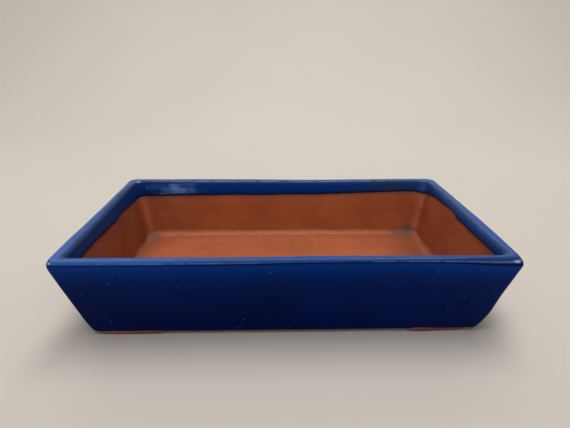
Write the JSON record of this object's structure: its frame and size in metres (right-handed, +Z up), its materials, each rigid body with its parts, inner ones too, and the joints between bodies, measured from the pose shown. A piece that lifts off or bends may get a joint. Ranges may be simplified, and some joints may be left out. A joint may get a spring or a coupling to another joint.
{
  "type": "bonsai pot",
  "caption": "Shallow rectangular tray pot for a bonsai, slab built, glazed blue outside and over the rim, bare clay inside, on low feet.",
  "frame": {"origin": "centre of the footprint, on the plane that the feet stand on", "axes": "+X along the pot's length to the right, +Y from front to back, +Z up out of the mouth"},
  "size_m": [0.2072, 0.1222, 0.0439],
  "materials": {
    "cobalt_glaze": "glossy cobalt blue glaze",
    "red_clay": "matte unglazed red earthenware",
    "seam_clay": "matte smoothed slip in the seams",
    "foot_clay": "matte unglazed clay, darkened by handling"
  },
  "bodies": {
    "root": {"floor_slab": "red_clay", "wall_front": "red_clay", "wall_back": "red_clay", "wall_left": "red_clay", "wall_right": "red_clay", "corner_coil_front_left": "seam_clay", "corner_coil_front_right": "seam_clay", "corner_coil_back_left": "seam_clay", "corner_coil_back_right": "seam_clay", "floor_coil_front": "seam_clay", "floor_coil_back": "seam_clay", "floor_coil_left": "seam_clay", "floor_coil_right": "seam_clay", "foot_front_left": "foot_clay", "foot_front_right": "foot_clay", "foot_back_left": "foot_clay", "foot_back_right": "foot_clay", "glaze_coat": "cobalt_glaze"}
  },
  "joints": []
}
